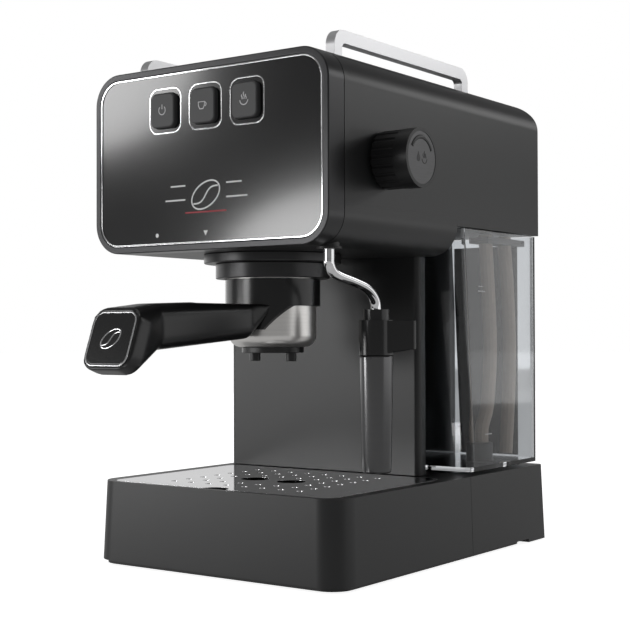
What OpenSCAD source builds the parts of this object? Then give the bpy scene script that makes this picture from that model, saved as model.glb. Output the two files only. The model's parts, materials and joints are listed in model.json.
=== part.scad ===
// Compact pump espresso machine: a boxy head on a rear column and a wide drip base.
// X runs to the machine's right, -Y is its front, +Z is up. The origin lies on the table,
// under the middle of the body.

/* [Body] */
// Width of the head
body_w = 170; // [150:1:210]
// Depth from the front trim to the rear face
body_d = 245; // [220:1:300]
// Height of the top face above the table
body_h = 290.5; // [240:0.5:350]
// Height of the head from its underside to its top
head_h = 106; // [90:1:130]
// Radius of the head's long edges
head_r = 18; // [8:1:24]
// Radius of the head's rear upper edge
rear_r = 15; // [6:1:24]
// Thickness of the moulded walls
wall = 2.5; // [1.8:0.1:3.5]
// Depth of the front trim ring
trim_d = 15; // [10:1:25]
// Height of the head's lower shell
lower_h = 22.5; // [19:0.5:30]

/* [Base] */
// Width of the base at the table
base_w = 180; // [160:1:220]
// Height of the base's top face
base_h = 50; // [40:1:65]
// How far each side of the base leans in at its top
base_lean = 1.7; // [0:0.1:3]
// Radius of the base's front corners
base_r = 15.5; // [8:0.5:20]
// Radius of the base's rear corners
heel_r = 3.5; // [3:0.5:12]
// How far the base's front edge stands behind the front trim
base_back = 2; // [0:0.5:10]
// Depth of the removable drip tray
tray_d = 142.5; // [138:0.5:160]
// Height of the sunken floor pan
pan_h = 3.2; // [2:0.1:5]
// How far the pan is set in from the base's edge
pan_inset = 3; // [2:0.5:6]
// Height of the rubber feet below the pan
foot_h = 1; // [0.5:0.1:3]
// Radius of a rubber foot
foot_r = 8; // [5:1:12]

/* [Drip grille] */
// Width of the grille
grille_w = 160; // [140:1:164]
// Depth of the grille
grille_d = 117; // [100:1:121]
// Thickness of the grille
grille_t = 1.6; // [1:0.1:2]
// Distance from one drain hole to the next
hole_pitch = 13.2; // [10:0.2:16]
// Radius of a drain hole
hole_r = 2; // [1.5:0.1:3]
// Radius of the larger drain openings
drain_r = 8.5; // [6:0.5:10]

/* [Column] */
// Distance from the front trim to the column's front wall
column_back = 127.5; // [124:0.5:130]
// Width of the column's front wall
column_w = 147; // [130:1:155]
// Depth of the wing in front of the water tank
wing_d = 8; // [7:0.5:9]
// Width of the pump bay behind the front wall
bay_w = 105; // [95:1:112]

/* [Control panel] */
// Width of the bezel around the panel
bezel = 4; // [3:0.5:6]
// Width of the bright line around the panel
line_w = 1; // [0.6:0.1:2]
// Width of a button cap
button_w = 18; // [14:0.5:20]
// Height of a button cap
button_h = 20; // [16:0.5:21]
// Distance between the buttons
button_pitch = 30; // [26:1:36]
// Height of the buttons' centres below the top face
button_drop = 25; // [22:1:32]
// How far a cap stands out of the panel
button_proud = 3; // [2:0.5:5]
// Travel of a button
button_travel = 1.2; // [0.5:0.1:2]

/* [Brewing group] */
// Distance from the front trim to the group's axis
group_back = 62.5; // [58:0.5:68]
// Outer radius of the portafilter's metal cup
cup_r = 26; // [21:0.1:32]
// How far the locking ring stands out past the cup
lock_out = 8; // [7.5:0.5:11]
// How far the flange under the head stands out past the locking ring
flange_out = 7; // [3:0.5:9]
// Height of the locking ring
ring_h = 9; // [8:0.5:12]
// Distance from the locking ring down to the cup's underside
cup_drop = 40.5; // [36:0.5:46]
// Distance between the two coffee outlets
spout_gap = 27; // [20:1:30]
// Distance from the group's axis to the end of the handle
handle_l = 137; // [115:1:160]
// Width of the handle
handle_w = 24; // [18:1:30]
// Side length of the square handle end
handle_end = 34; // [30:1:38]
// Lean of the handle's end face
end_tilt = 20; // [0:1:30]

/* [Steam] */
// Radius of the steam knob
knob_r = 16.5; // [14:0.5:19]
// Length of the steam knob
knob_l = 23; // [18:1:28]
// Number of grooves around the knob
knob_grooves = 20; // [12:1:28]
// Distance from the front trim to the knob's axis
knob_back = 53; // [45:1:60]
// Height of the knob's axis above the head's underside
knob_up = 48.7; // [40:0.1:60]
// Radius of the steam pipe
pipe_r = 3; // [2.5:0.1:4]
// Running clearance of a turning fit
run_gap = 0.05; // [0.02:0.01:0.1]
// Distance from the front trim to the wand's pivot
wand_back = 21.5; // [18:0.5:30]
// Distance of the wand's pivot from the middle
wand_x = 70; // [64:1:72]
// Height of the froth sleeve's tip above the grille
tip_up = 8; // [6:1:20]
// Upper radius of the froth sleeve
sleeve_r = 9.8; // [8:0.1:11]

/* [Water tank] */
// Thickness of the tank's wall
tank_wall = 2.5; // [2:0.1:3.5]
// Gap between the tank and what stands beside it
tank_gap = 2; // [1:0.1:4]
// Slope of the tank's front wall, as the set-back at its foot
tank_slope = 12; // [0:1:20]
// Radius of the tank's hoses
hose_r = 4.4; // [3:0.1:5.4]

/* [Cup rails] */
// Height of a rail above the head's top
rail_h = 14; // [8:0.5:25]
// Length of a rail
rail_l = 148; // [110:1:170]
// Width of a rail's bar
rail_t = 6; // [4:0.5:9]
// Height of a rail's bar
rail_bar = 7.3; // [4:0.1:9]
// Distance of a rail's centre from the middle
rail_x = 69; // [60:1:75]

/* [Hidden] */
$fn = 64;
HULL_FN = 32;
EPS = 0.01;
GAP = 0.3;            // clearance of a free fit
SLIP = 0.1;           // gap under a sliding part
EDGE = 0.4;           // smallest radius inside a corner

front_y = -body_d / 2;
rear_y = body_d / 2;
head_z = body_h - head_h;
head_mid = head_z + head_h / 2;
shell_y = front_y + trim_d;
lower_z = head_z + lower_h;
left_x = -body_w / 2;
right_x = body_w / 2;
notch_z = head_z + head_r;          // underside of the head over the tank

base_front = front_y + base_back;
base_d = rear_y - base_front;
base_mid = (base_front + rear_y) / 2;
tray_end = base_front + tray_d;
pan_z = foot_h;
shell_z = foot_h + pan_h - 1;       // lower edge of the base's walls

grille_front = base_front + 5.5;
grille_mid = grille_front + grille_d / 2;
grille_z = base_h - grille_t;

column_y = front_y + column_back;
column_x = left_x + column_w;
bay_x = left_x + bay_w;
wing_y = column_y + wing_d;
cover_y = rear_y - wall;
column_r = 3.5;
gland_bore = 7;
gland_x = left_x + 22;
gland_z = base_h + 20;
lead_r = 4;            // bore for the mains lead

panel_w = body_w - 2 * bezel;
panel_h = head_h - 2 * bezel;
panel_r = head_r - bezel;
panel_y = front_y + 0.8;
panel_t = 2.5;
button_z = body_h - button_drop;
button_r = 4;
button_l = 9;
button_x = [-button_pitch, 0, button_pitch];
ring_in = 2.4;         // from the cap to the bright line
ring_out = 3.2;
ring_deep = 0.6;

group_y = front_y + group_back;
ring_z = head_z - 5.5 - ring_h;
lip_h = 1.5;
ring_r = cup_r + lock_out;
flange_r = ring_r + flange_out;
lug_r = ring_r - 2.4;
groove_r = ring_r - 2;
bowl_r = cup_r - 1;
basket_r = bowl_r - 0.4;
basket_t = 0.6;
rim_z = ring_z + 5.2;               // top of the portafilter's cup
basket_z = rim_z + 1.1;             // top of the basket's rim
gasket_z = basket_z + GAP;
cup_z = ring_z - cup_drop;
collar_r = cup_r + 2.4;
neck_r = collar_r + 2.3;
screen_r = collar_r - 5.4;
plug_r = screen_r + 0.8;         // the group's plug inside the gasket
collar_z0 = ring_z - 16.3;
collar_z1 = ring_z - 0.4;
spout_z = cup_z - 3.4;
end_z = cup_z + 5.6;     // middle of the handle's end face
arm_h = 23;
end_plate = handle_end - 4;
cap_plate = end_plate - 1.8;

knob_y = front_y + knob_back;
knob_z = head_z + knob_up;
knob_x = right_x + 2;
stem_r = 3;
valve_x = right_x - 22;
knob_grip = knob_l - 9;  // length of the grooved part
wand_y = front_y + wand_back;
swivel_z = head_z - 6.5;
tip_z = base_h + tip_up;
wand_route = [[0, 0, 0], [0, 0.3, -3], [0, 3, -6.5], [0, 9, -8.8], [0, 25, -12],
              [0, 36, -15], [0, 43, -19], [0, 46, -24], [0, 46.5, -27]];
wand_end = wand_route[len(wand_route) - 1];
wand_axis_y = wand_y + wand_end[1];
collar_top = swivel_z + wand_end[2];
grip_h = 20;
grip_r = 10;
tab_l = 24;
tab_turn = 12;
grip_z = collar_top - 6 - grip_h;

tank_x0 = bay_x + tank_gap;
tank_x1 = right_x;
tank_y0 = wing_y + tank_gap + 1.5;
tank_y1 = rear_y - 1;
tank_z0 = base_h + 2;
tank_z1 = notch_z - 1;
tank_r = 6;
hose_x = right_x - 17;
suction_y = tank_y1 - 44.5;
return_y = tank_y1 - 18.5;
clip_z = tank_z1 - 6;
strainer_z = tank_z0 + tank_wall + 0.5;

boiler_r = 36;
boiler_z = head_z + 6;
boiler_seam = boiler_z + 26;
boiler_top = boiler_seam + 34;
bolt_angles = [30:60:330];
coil_r = 18;           // middle radius of the heating coil
pump_x = -32;
pump_y = column_y + 41;
pump_z = base_h + 46;
pump_coil = 38;

rail_y = front_y + 24.5;
rail_r = 9;
rail_screws = [rail_y + rail_bar / 2, rail_y + rail_l - rail_bar / 2];
plate_w = 2 * rail_x - rail_t - 12;
plate_d = rail_l - 14;
plate_y = rail_y + rail_l / 2;
plate_t = 0.8;

// ---- shapes used by several parts ----

// A box from its lowest corner to its highest corner
module block(low, high) {
    translate(low) cube(high - low);
}

// A rounded rectangle about the origin
module rounded(w, h, r) {
    square([w, h - 2 * r], center = true);
    square([w - 2 * r, h], center = true);
    for (x = [-1, 1], y = [-1, 1])
        translate([x * (w / 2 - r), y * (h / 2 - r)]) circle(r);
}

// A rounded bar along Y, with its section in the XZ plane
module bar_y(y0, y1, x, z, w, h, r) {
    translate([x, y0, z]) rotate([-90, 0, 0]) linear_extrude(y1 - y0) rounded(w, h, r);
}

// A rod along X
module rod_x(x0, x1, y, z, r) {
    translate([x0, y, z]) rotate([0, 90, 0]) cylinder(r = r, h = x1 - x0);
}

// A rod along Z
module rod(x, y, z0, z1, r) {
    translate([x, y, z0]) cylinder(r = r, h = z1 - z0);
}

// A round tube along Z
module sleeve(x, y, z0, z1, outer, inner) {
    difference() {
        rod(x, y, z0, z1, outer);
        rod(x, y, z0 - 1, z1 + 1, inner);
    }
}

function unit(v) = v / norm(v);

// A smooth curve through the points, with steps pieces between each two
function curve(p, steps) = let (n = len(p) - 1) concat(
    [for (i = [0:n - 1], k = [0:steps - 1])
        let (t = k / steps, a = p[max(i - 1, 0)], b = p[i], c = p[i + 1], d = p[min(i + 2, n)])
        0.5 * (2 * b + (c - a) * t + (2 * a - 5 * b + 4 * c - d) * t * t
               + (3 * b - a - 3 * c + d) * t * t * t)],
    [p[n]]);

// A tube of radius r swept along the points; side is a direction it never runs along
module hose(p, r, side, n = 12) {
    last = len(p) - 1;
    rings = [for (i = [0:last])
        let (t = unit(p[min(i + 1, last)] - p[max(i - 1, 0)]),
             a = unit(cross(t, side)), b = cross(t, a))
        each [for (k = [0:n - 1]) p[i] + r * (cos(360 * k / n) * a + sin(360 * k / n) * b)]];
    walls = [for (i = [0:last - 1], k = [0:n - 1])
        let (j = (k + 1) % n)
        each [[i * n + k, i * n + j, (i + 1) * n + j], [i * n + k, (i + 1) * n + j, (i + 1) * n + k]]];
    ends = [[for (k = [n - 1:-1:0]) k], [for (k = [0:n - 1]) last * n + k]];
    polyhedron(rings, [for (f = concat(walls, ends)) [for (k = [len(f) - 1:-1:0]) f[k]]]);
}

// ---- housing ----

// The head's outer form, set in by t on every side; its front is open when t is not 0
module head_form(t) {
    y0 = t > 0 ? front_y - 1 : shell_y;
    intersection() {
        bar_y(y0, rear_y - t, 0, head_mid, body_w - 2 * t, head_h - 2 * t, head_r - t);
        translate([-body_w, 0, 0]) rotate([90, 0, 90]) linear_extrude(2 * body_w) union() {
            translate([y0, 0]) square([rear_y - t - rear_r - y0, body_h - t]);
            translate([y0, 0]) square([rear_y - t - y0, body_h - rear_r - t]);
            translate([rear_y - rear_r - t, body_h - rear_r - t]) circle(rear_r);
        }
    }
}

// The base's outer form between two heights, leaning in towards its top
module base_form(inset, z0, z1) {
    lean = base_lean / base_h;
    hull() for (z = [z0, z1 - EPS], x = [-1, 1], corner = [[-1, base_r], [1, heel_r]])
        let (r = max(corner[1] - inset, EDGE), back = inset + lean * z + r)
            translate([x * (base_w / 2 - back), base_mid + corner[0] * (base_d / 2 - back), z])
                cylinder(r = r, h = EPS);
}

module base_pan() {
    color([0.08, 0.08, 0.08]) difference() {
        translate([0, base_mid - 12, pan_z]) linear_extrude(shell_z - pan_z)
            rounded(base_w - 2 * pan_inset, base_d - 2 * pan_inset - 24, base_r - pan_inset);
        base_screw_holes(pan_z - 1, shell_z + 1, 2.2);
    }
}

module base_screw_holes(z0, z1, r) {
    for (x = [-1, 1], y = [tray_end + 12, rear_y - 36])
        rod(x * (base_w / 2 - 16), y, z0, z1, r);
}

module rubber_feet() {
    color([0.12, 0.12, 0.12]) {
        for (x = [-1, 1], y = [base_front + 20, rear_y - 52])
            rod(x * (base_w / 2 - 18), y, 0, foot_h, foot_r);
        rod(0, 0, 0, foot_h, foot_r);
    }
}

// The fixed rear of the base, with a low heel behind the floor pan
module rear_base() {
    heel = 26;
    color([0.13, 0.13, 0.13]) difference() {
        intersection() {
            base_form(0, foot_h, base_h);
            union() {
                block([-base_w, tray_end + GAP, shell_z], [base_w, rear_y + 1, base_h + 1]);
                block([-base_w, rear_y - heel, 0], [base_w, rear_y + 1, base_h]);
            }
        }
        difference() {
            intersection() {
                base_form(wall, foot_h, base_h - wall);
                block([-base_w, tray_end + GAP + wall, shell_z - EPS], [base_w, rear_y, base_h]);
            }
            block([-base_w, rear_y - heel, 0], [base_w, rear_y, shell_z + 1]);
            for (x = [-1, 1], y = [tray_end + 12, rear_y - 36])
                rod(x * (base_w / 2 - 16), y, 0, base_h, 5);
        }
        base_screw_holes(shell_z - 1, shell_z + 12, 1.5);
        rod(pump_x, pump_y, base_h - 10, base_h + 1, 10);
    }
}

module drip_tray() {
    color([0.13, 0.13, 0.13]) difference() {
        intersection() {
            base_form(0, shell_z + SLIP, base_h);
            block([-base_w, base_front - 1, 0], [base_w, tray_end, base_h + 1]);
        }
        intersection() {
            base_form(wall, shell_z + 3, grille_z - 3);
            block([-base_w, base_front - 1, 0], [base_w, tray_end - wall, base_h]);
        }
        translate([0, grille_mid, grille_z - 4]) linear_extrude(base_h)
            rounded(grille_w - 6, grille_d - 6, 6);
        translate([0, grille_mid, grille_z - SLIP]) linear_extrude(base_h)
            rounded(grille_w + 2 * GAP, grille_d + 2 * GAP, 8 + GAP);
    }
}

// Small drain holes in rows, two larger ones below the coffee outlets and a finger notch
module drip_grille() {
    columns = floor((grille_w - 54) / hole_pitch / 2) * 2;
    rows = floor((grille_d - 36) / hole_pitch / 2) * 2 + 1;
    color([0.8, 0.8, 0.8]) difference() {
        translate([0, grille_mid, grille_z]) linear_extrude(grille_t)
            rounded(grille_w, grille_d, 8);
        for (x = [-1, 1] * spout_gap / 2)
            rod(x, group_y, grille_z - 1, base_h + 1, drain_r);
        rod(0, grille_front, grille_z - 1, base_h + 1, drain_r);
        for (i = [0:columns - 1], j = [0:rows - 1])
            let (x = (i - (columns - 1) / 2) * hole_pitch, y = grille_mid + (j - (rows - 1) / 2) * hole_pitch)
                if (norm([abs(x) - spout_gap / 2, y - group_y]) > drain_r + hole_r + 1.5)
                    rod(x, y, grille_z - 1, base_h + 1, hole_r);
    }
}

// Plan of the column: the front wall with the tank's wing, and the pump bay behind it
module column_plan() {
    translate([left_x, column_y + column_r]) square([bay_w, cover_y - column_y - column_r]);
    translate([left_x + column_r, column_y]) square([column_w - 2 * column_r, wing_d]);
    translate([left_x, column_y + column_r]) square([column_w, wing_d - column_r]);
    for (x = [left_x + column_r, column_x - column_r])
        translate([x, column_y + column_r]) circle(column_r);
}

// The space inside the column, open at its rear
module column_space() {
    r = max(column_r - wall, EDGE);
    x = left_x + wall;
    y = column_y + wall;
    translate([x, y + r]) square([bay_w - 2 * wall, rear_y - y]);
    translate([x + r, y]) square([bay_w - 2 * wall - r, 2 * r]);
    translate([x + r, y + r]) circle(r);
    translate([x + r, y]) square([column_w - 2 * column_r - 2 * wall, wing_d - 2 * wall]);
}

module column_shell() {
    color([0.11, 0.11, 0.11]) translate([0, 0, base_h]) difference() {
        linear_extrude(head_z - base_h) column_plan();
        translate([0, 0, wall]) linear_extrude(head_z) column_space();
        translate([pump_x, pump_y, -1]) cylinder(r = 10, h = wall + 2);
        block([-body_w, column_y - 1, -1], [body_w, tray_end + GAP, GAP]);
    }
}

module rear_cover() {
    color([0.13, 0.13, 0.13]) difference() {
        block([left_x, cover_y, base_h], [bay_x, rear_y, head_z]);
        translate([gland_x, 0, gland_z]) rotate([-90, 0, 0]) cylinder(r = gland_bore, h = rear_y + 1);
        for (k = [0:6])
            block([left_x + 40, cover_y - 1, base_h + 80 + k * 6],
                  [bay_x - 20, rear_y + 1, base_h + 82.5 + k * 6]);
    }
}

module head_lower_shell() {
    color([0.13, 0.13, 0.13]) difference() {
        union() {
            intersection() {
                head_form(0);
                block([-body_w, shell_y, head_z - 1], [body_w, wing_y, lower_z]);
            }
            block([left_x, column_y, head_z], [bay_x, rear_y, lower_z]);
        }
        intersection() {
            head_form(wall);
            block([-body_w, front_y - 2, head_z], [body_w, wing_y - wall, lower_z + 1]);
        }
        block([left_x + wall, column_y + wall, head_z - 1], [bay_x - wall, rear_y - wall, lower_z + 1]);
        rod(0, group_y, head_z - 1, lower_z, neck_r + GAP);
        rod(wand_x, wand_y, head_z - 1, lower_z, 6);
    }
}

module head_upper_shell() {
    color([0.13, 0.13, 0.13]) difference() {
        intersection() {
            head_form(0);
            union() {
                block([-body_w, shell_y, lower_z], [body_w, rear_y + 1, body_h + 1]);
                block([bay_x, wing_y, notch_z], [body_w, rear_y + 1, body_h]);
            }
        }
        head_form(wall);
        rod_x(0, body_w, knob_y, knob_z, stem_r + 4);
        translate([0, plate_y, body_h - plate_t]) linear_extrude(10) rounded(plate_w, plate_d, 10);
        for (x = [-1, 1], y = rail_screws)
            rod(x * rail_x, y, body_h - 10, body_h + 1, 1.6);
    }
}

// Closes the head over the water tank
module tank_roof() {
    color([0.1, 0.1, 0.1]) difference() {
        block([bay_x, wing_y, notch_z], [right_x - wall, rear_y - wall, notch_z + wall]);
        for (y = [suction_y, return_y])
            rod(hose_x, y, notch_z - 1, notch_z + wall + 1, hose_r - 1);
    }
}

module front_bezel() {
    color([0.1, 0.1, 0.1]) difference() {
        bar_y(front_y, shell_y, 0, head_mid, body_w, head_h, head_r);
        bar_y(front_y - 1, shell_y + 1, 0, head_mid, body_w - 2 * wall, head_h - 2 * wall, head_r - wall);
    }
    color([0.1, 0.1, 0.1]) difference() {
        bar_y(front_y, panel_y + panel_t, 0, head_mid, body_w - wall, head_h - wall, head_r - wall / 2);
        bar_y(front_y - 1, shell_y, 0, head_mid, panel_w, panel_h, panel_r);
    }
}

module chrome_trim() {
    color([0.85, 0.85, 0.86]) difference() {
        bar_y(front_y + 0.2, panel_y + panel_t, 0, head_mid, panel_w, panel_h, panel_r);
        bar_y(front_y - 1, shell_y, 0, head_mid, panel_w - 2 * line_w, panel_h - 2 * line_w, panel_r - line_w);
    }
}

module front_panel() {
    color([0.02, 0.02, 0.02]) difference() {
        bar_y(panel_y, panel_y + panel_t, 0, head_mid,
              panel_w - 2 * line_w, panel_h - 2 * line_w, panel_r - line_w);
        for (x = button_x)
            bar_y(panel_y - 1, panel_y + panel_t + 1, x, button_z,
                  button_w + 2 * GAP, button_h + 2 * GAP, button_r + GAP);
        for (x = button_x)
            button_ring(x, panel_y - 1, ring_out, ring_in);
    }
}

// The bright square line around a button
module button_ring(x, y0, outer, inner) {
    difference() {
        bar_y(y0, panel_y + ring_deep, x, button_z,
              button_w + 2 * outer, button_h + 2 * outer, button_r + outer - 1);
        bar_y(y0 - 1, panel_y + ring_deep + 1, x, button_z,
              button_w + 2 * inner, button_h + 2 * inner, button_r + inner - 1);
    }
}

module button_rings() {
    color([0.85, 0.85, 0.86]) for (x = button_x)
        button_ring(x, panel_y - 0.2, ring_out, ring_in);
}

module button_cap(x) {
    y = panel_y - button_proud;
    color([0.2, 0.2, 0.2]) bar_y(y, y + button_l, x, button_z, button_w, button_h, button_r);
}

module power_button() {
    button_cap(button_x[0]);
}

module coffee_button() {
    button_cap(button_x[1]);
}

module steam_button() {
    button_cap(button_x[2]);
}

module button_board() {
    y = panel_y - button_proud + button_l + button_travel + GAP;
    color([0.1, 0.35, 0.2]) {
        block([-button_pitch - 18, y + 3, button_z - 14], [button_pitch + 18, y + 4.6, button_z + 14]);
        for (x = button_x)
            block([x - 3, y, button_z - 3], [x + 3, y + 3, button_z + 3]);
        for (x = [-1, 1] * (button_pitch + 15))
            block([x - 2, panel_y + panel_t, button_z - 10], [x + 2, y + 3, button_z + 10]);
    }
}

// The board stands on four posts along the head's left wall
module control_board() {
    x = left_x + wall;
    color([0.1, 0.35, 0.2]) {
        block([x + 4, wing_y + 12, lower_z + 8], [x + 5.6, wing_y + 92, body_h - 24]);
        block([x + 5.6, wing_y + 20, lower_z + 18], [x + 22, wing_y + 42, lower_z + 36]);
        block([x + 5.6, wing_y + 56, lower_z + 24], [x + 20, wing_y + 72, lower_z + 38]);
        for (y = [wing_y + 16, wing_y + 86], z = [lower_z + 12, body_h - 30])
            rod_x(x, x + 4, y, z, 2);
    }
}

module cup_plate() {
    color([0.75, 0.75, 0.76]) translate([0, plate_y, body_h - plate_t])
        linear_extrude(plate_t + 0.4) rounded(plate_w - 2 * SLIP, plate_d - 2 * SLIP, 10 - SLIP);
}

// One rail: a flat bar bent down at both ends, with its feet cut to the head's top
module cup_rail(x) {
    color([0.85, 0.85, 0.86]) difference() {
        translate([x - rail_t / 2, plate_y, body_h]) rotate([90, 0, 90]) linear_extrude(rail_t)
            difference() {
                rail_outline(rail_l, rail_h, rail_r);
                rail_outline(rail_l - 2 * rail_bar, rail_h - rail_bar, 3);
            }
        head_form(0);
        for (y = rail_screws)
            rod(x, y, body_h - 3, body_h + 4, 1.4);
    }
}

module rail_outline(l, h, r) {
    translate([-l / 2, -2]) square([l, h - r + 2]);
    translate([-l / 2 + r, -2]) square([l - 2 * r, h + 2]);
    for (s = [-1, 1])
        translate([s * (l / 2 - r), h - r]) circle(r);
}

module cup_rail_left() {
    cup_rail(-rail_x);
}

module cup_rail_right() {
    cup_rail(rail_x);
}

// ---- steam ----

module steam_knob() {
    color([0.12, 0.12, 0.12]) difference() {
        union() {
            rod_x(knob_x, knob_x + knob_grip, knob_y, knob_z, knob_r - 0.3);
            rod_x(knob_x + knob_grip, knob_x + knob_l, knob_y, knob_z, knob_r);
        }
        for (k = [0:knob_grooves - 1])
            translate([0, knob_y, knob_z]) rotate([360 * k / knob_grooves, 0, 0])
                rod_x(knob_x - 1, knob_x + knob_grip, knob_r + 0.6, 0, 1.5);
        rod_x(knob_x - 1, knob_x + knob_l - 6, knob_y, knob_z, stem_r);
        rod_x(knob_x + knob_l - 1, knob_x + knob_l + 1, knob_y, knob_z, knob_r - 2);
    }
}

module knob_face() {
    color([0.5, 0.5, 0.5]) rod_x(knob_x + knob_l - 1, knob_x + knob_l - 0.2, knob_y, knob_z, knob_r - 2);
}

module valve_stem() {
    color([0.75, 0.62, 0.3]) rod_x(valve_x - 10, knob_x + knob_l - 6, knob_y, knob_z, stem_r);
}

module steam_valve() {
    color([0.75, 0.62, 0.3]) difference() {
        union() {
            block([valve_x - 18, knob_y - 10, knob_z - 10], [valve_x, knob_y + 10, knob_z + 10]);
            rod_x(valve_x, valve_x + 8, knob_y, knob_z, 7);
        }
        rod_x(valve_x - 11, valve_x + 9, knob_y, knob_z, stem_r + run_gap);
    }
}

module steam_feed() {
    color([0.72, 0.45, 0.3]) {
        hose(curve([[valve_x - 9, knob_y - 10, knob_z], [valve_x - 9, knob_y - 15, knob_z - 2],
                    [valve_x - 2, knob_y - 23, knob_z - 10], [wand_x, wand_y, head_z + 28],
                    [wand_x, wand_y, head_z + 17]], 5), 2.5, [1, 0, 0.2]);
        hose(curve([[boiler_r * 0.4, group_y, boiler_top], [boiler_r * 0.42, group_y, boiler_top + 8],
                    [boiler_r * 0.7, group_y - 3, boiler_top + 12],
                    [valve_x - 14, knob_y, knob_z + 22], [valve_x - 9, knob_y, knob_z + 10]], 5),
             2.5, [0, 1, 0]);
    }
}

module wand_gland() {
    color([0.3, 0.3, 0.3]) {
        sleeve(wand_x, wand_y, head_z, head_z + wall + 4, 5.9, pipe_r + run_gap);
        sleeve(wand_x, wand_y, head_z - 1.2, head_z, 7, pipe_r + run_gap);
        sleeve(wand_x, wand_y, head_z + wall + 4, head_z + wall + 5.5, 7, pipe_r + run_gap);
    }
}

module wand_swivel() {
    color([0.85, 0.85, 0.86]) {
        rod(wand_x, wand_y, swivel_z, head_z + 16.5, pipe_r);
        rod(wand_x, wand_y, head_z + wall + 5.8, head_z + wall + 8, 5);
    }
}

module steam_pipe() {
    color([0.85, 0.85, 0.86]) translate([wand_x, wand_y, swivel_z])
        hose(curve(wand_route, 4), pipe_r, [1, 0, 0], 16);
}

// A round grip with a thumb tab that narrows outwards, and a neck on top
module wand_grip() {
    color([0.05, 0.05, 0.05]) translate([wand_x, wand_axis_y, 0]) difference() {
        union() {
            rod(0, 0, collar_top - 6, collar_top, 7.7);
            rod(0, 0, grip_z, grip_z + grip_h, grip_r);
            rotate([0, 0, tab_turn]) hull() {
                rod(2, 0, grip_z + 1, grip_z + grip_h - 0.5, grip_r * 0.62, $fn = HULL_FN);
                rod(tab_l - 2.5, 0, grip_z + 3.5, grip_z + grip_h - 0.5, 2.5, $fn = HULL_FN);
            }
        }
        rod(0, 0, grip_z - 1, collar_top + 1, pipe_r);
    }
}

module froth_sleeve() {
    color([0.15, 0.15, 0.15]) translate([wand_x, wand_axis_y, tip_z]) difference() {
        cylinder(r1 = sleeve_r - 1.4, r2 = sleeve_r, h = grip_z - tip_z);
        translate([0, 0, 8]) cylinder(r = sleeve_r - 3.4, h = grip_z - tip_z);
        translate([0, 0, -1]) cylinder(r = 4, h = 12);
    }
}

module steam_nozzle() {
    color([0.8, 0.8, 0.8]) {
        rod(wand_x, wand_axis_y, tip_z + 12, collar_top, pipe_r);
        rod(wand_x, wand_axis_y, tip_z + 12, tip_z + 18, 4.5);
    }
}

// ---- brewing group ----

module group_flange() {
    color([0.18, 0.18, 0.18]) sleeve(0, group_y, ring_z + ring_h, head_z, flange_r, neck_r + SLIP);
}

module lock_ring() {
    color([0.2, 0.2, 0.2]) difference() {
        rod(0, group_y, ring_z, ring_z + ring_h, ring_r);
        rod(0, group_y, ring_z - 1, ring_z + ring_h + 1, collar_r + 0.4);
        rod(0, group_y, ring_z + lip_h, ring_z + lip_h + 4.5, groove_r);
        for (a = [0, 180])
            translate([0, group_y, ring_z - 1]) rotate([0, 0, a - 45 - 24])
                rotate_extrude(angle = 48) translate([collar_r - 2, 0]) square([groove_r - collar_r + 1.8, 3]);
    }
}

module group_head() {
    top = boiler_z;
    color([0.7, 0.7, 0.7]) difference() {
        union() {
            rod(0, group_y, gasket_z + 0.8, top, plug_r);
            rod(0, group_y, gasket_z + 5.4, top, neck_r);
        }
        rod(0, group_y, gasket_z - 1, gasket_z + 9, 2);
    }
}

module group_gasket() {
    color([0.35, 0.1, 0.08]) sleeve(0, group_y, gasket_z, gasket_z + 5.4, collar_r + 0.3, plug_r + SLIP);
}

module shower_screen() {
    color([0.75, 0.75, 0.75]) difference() {
        rod(0, group_y, gasket_z, gasket_z + 0.8, screen_r);
        for (r = [7, 12, 17], a = [0:30:359])
            translate([r * cos(a), group_y + r * sin(a), gasket_z - 1]) cylinder(r = 0.8, h = 3);
        rod(0, group_y, gasket_z - 1, gasket_z + 2, 2);
    }
    color([0.7, 0.7, 0.7]) {
        rod(0, group_y, gasket_z - 1.5, gasket_z, 4);
        rod(0, group_y, gasket_z, gasket_z + 8, 2);
    }
}

module portafilter_body() {
    color([0.75, 0.74, 0.72]) translate([0, group_y, 0]) {
        difference() {
            rotate_extrude() difference() {
                union() {
                    translate([0, cup_z + 7]) square([cup_r, rim_z - cup_z - 7]);
                    translate([0, cup_z]) square([cup_r - 7, 8]);
                    translate([cup_r - 7, cup_z + 7]) intersection() {
                        circle(7);
                        translate([0, -7]) square(7);
                    }
                    translate([0, ring_z + 0.3]) square([collar_r - 0.3, rim_z - ring_z - 0.3]);
                }
                translate([0, cup_z + 3]) square([bowl_r - 6, rim_z]);
                translate([0, cup_z + 9]) square([bowl_r, rim_z]);
            }
            for (x = [-1, 1])
                rod(x * spout_gap / 2, 0, cup_z - 1, cup_z + 4, 2);
        }
        for (a = [0, 180])
            translate([0, 0, ring_z + 2]) rotate([0, 0, a - 20])
                rotate_extrude(angle = 40) translate([collar_r - 1, 0]) square([lug_r - collar_r + 1, 3]);
    }
}

// The collar around the cup, with a skirt that drops towards the handle
module portafilter_collar() {
    skirt = 14;
    color([0.07, 0.07, 0.07]) intersection() {
        sleeve(0, group_y, collar_z0 - skirt, collar_z1, collar_r, cup_r);
        union() {
            block([-body_w, front_y, collar_z0], [body_w, rear_y, collar_z1 + 1]);
            translate([0, group_y, collar_z0]) rotate([90, 0, 0]) linear_extrude(2 * collar_r)
                polygon([[-handle_w / 2, -skirt], [handle_w / 2, -skirt], [handle_w, 0], [handle_w, 1],
                         [-handle_w, 1], [-handle_w, 0]]);
        }
    }
}

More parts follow.
